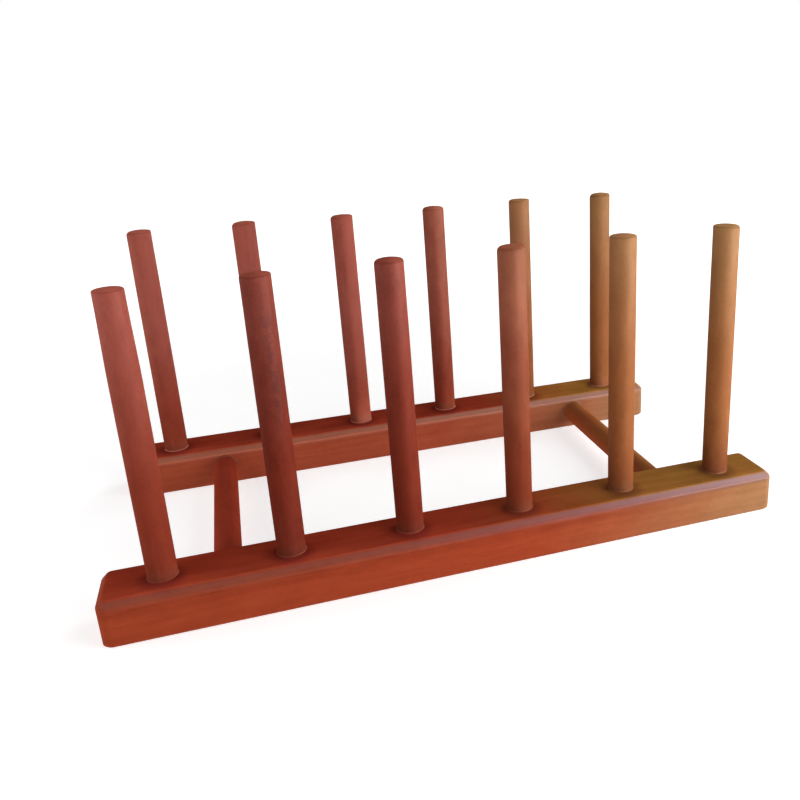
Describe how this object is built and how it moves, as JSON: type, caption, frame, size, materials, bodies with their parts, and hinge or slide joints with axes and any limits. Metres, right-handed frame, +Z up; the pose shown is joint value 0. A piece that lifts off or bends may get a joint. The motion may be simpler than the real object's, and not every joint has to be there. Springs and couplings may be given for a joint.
{
  "type": "pot lid rack",
  "caption": "Free-standing wooden rack that stores pot lids or plates on edge: two flat rails with rows of upright round pegs, tied together by round stretchers.",
  "frame": {"origin": "on the standing surface, in the middle of the rack's footprint", "axes": "+X along the rails, +Y from the front rail to the back rail, +Z up along the pegs"},
  "size_m": [0.303, 0.163, 0.14],
  "materials": {
    "rail_wood": "red-brown stain under satin lacquer, grain along the rail",
    "peg_wood": "red-brown stain under satin lacquer, grain up the peg",
    "stretcher_wood": "red-brown stain under satin lacquer, grain along the stretcher"
  },
  "bodies": {
    "root": {"front_rail": "rail_wood", "back_rail": "rail_wood", "front_peg_1": "peg_wood", "front_peg_2": "peg_wood", "front_peg_3": "peg_wood", "front_peg_4": "peg_wood", "front_peg_5": "peg_wood", "front_peg_6": "peg_wood", "back_peg_1": "peg_wood", "back_peg_2": "peg_wood", "back_peg_3": "peg_wood", "back_peg_4": "peg_wood", "back_peg_5": "peg_wood", "back_peg_6": "peg_wood", "left_stretcher": "stretcher_wood", "right_stretcher": "stretcher_wood"}
  },
  "joints": []
}
